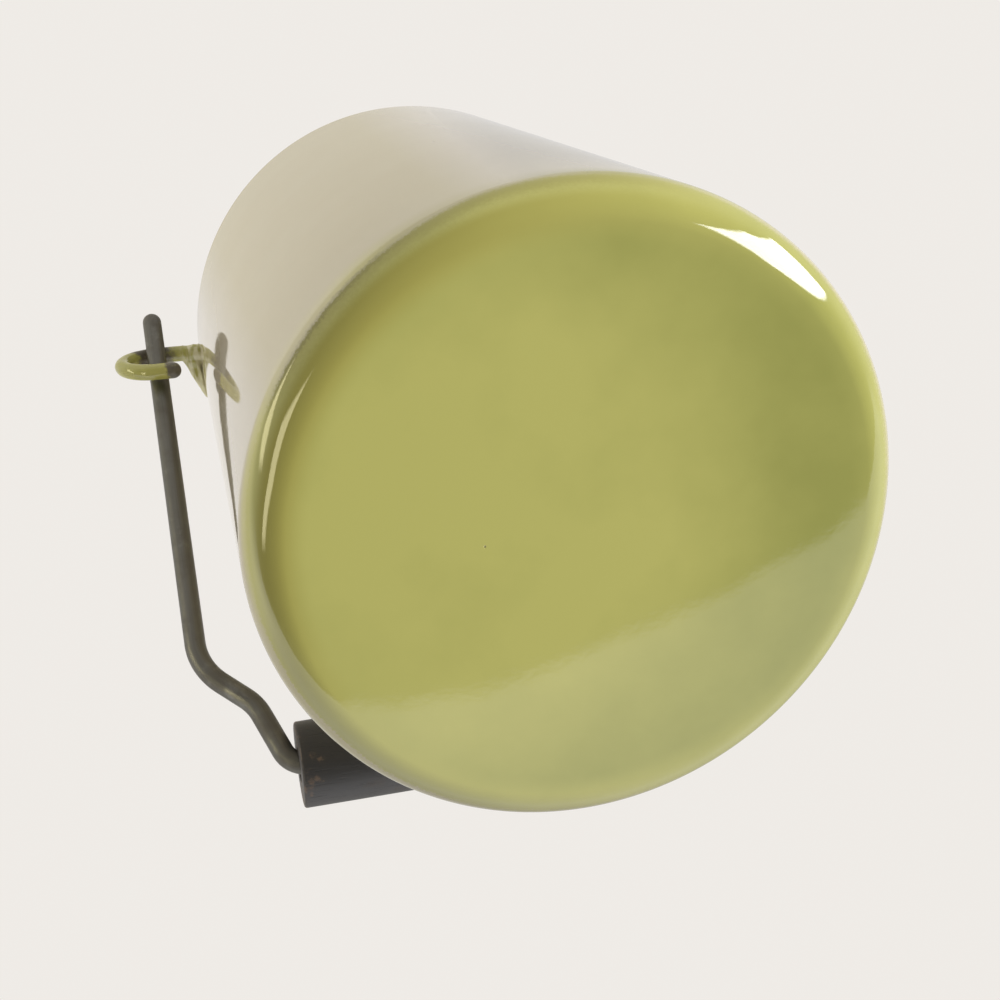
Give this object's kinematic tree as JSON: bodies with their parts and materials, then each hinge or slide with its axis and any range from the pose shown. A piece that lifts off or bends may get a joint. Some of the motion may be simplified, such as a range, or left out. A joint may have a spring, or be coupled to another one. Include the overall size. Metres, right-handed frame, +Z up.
{
  "type": "enamel milk can",
  "caption": "Round enamelled milk can with a necked mouth, a lift-off domed lid with a turned knob, and a wire bail with a turning wooden grip that swings on two wire ears.",
  "frame": {"origin": "centre of the base, on the face that stands on the table", "axes": "+Z up the can's axis, +X from the left ear to the right ear, +Y to the side where the bail hangs at rest"},
  "size_m": [0.1696, 0.1443, 0.2399],
  "materials": {
    "cream_enamel": "glossy cream enamel, shaded green at the base",
    "green_enamel": "glossy olive green enamel",
    "steel_wire": "darkened drawn steel",
    "dark_wood": "dark stained, worn at the edges"
  },
  "bodies": {
    "can": {"body_shell": "cream_enamel", "shoulder": "cream_enamel", "rim_wire": "steel_wire", "ear_left": "green_enamel", "ear_right": "green_enamel"},
    "bail": {"bail_wire": "steel_wire"},
    "grip": {"grip": "dark_wood"},
    "lid": {"lid_cap": "green_enamel", "lid_collar": "green_enamel", "lid_knob": "dark_wood", "knob_washer": "steel_wire", "knob_screw": "steel_wire"}
  },
  "joints": [
    {"name": "bail_swing", "type": "hinge", "parent": "can", "child": "bail", "pos_m": [0, 0, 0.161], "axis": [1, 0, 0], "range_deg": [0, 290]},
    {"name": "grip_spin", "type": "hinge", "parent": "bail", "child": "grip", "pos_m": [0, 0.0723, 0.05586], "axis": [1, 0, 0], "continuous": true},
    {"name": "lid_lift", "type": "slide", "parent": "can", "child": "lid", "axis": [0, 0, 1], "range_m": [0, 0.03]}
  ]
}
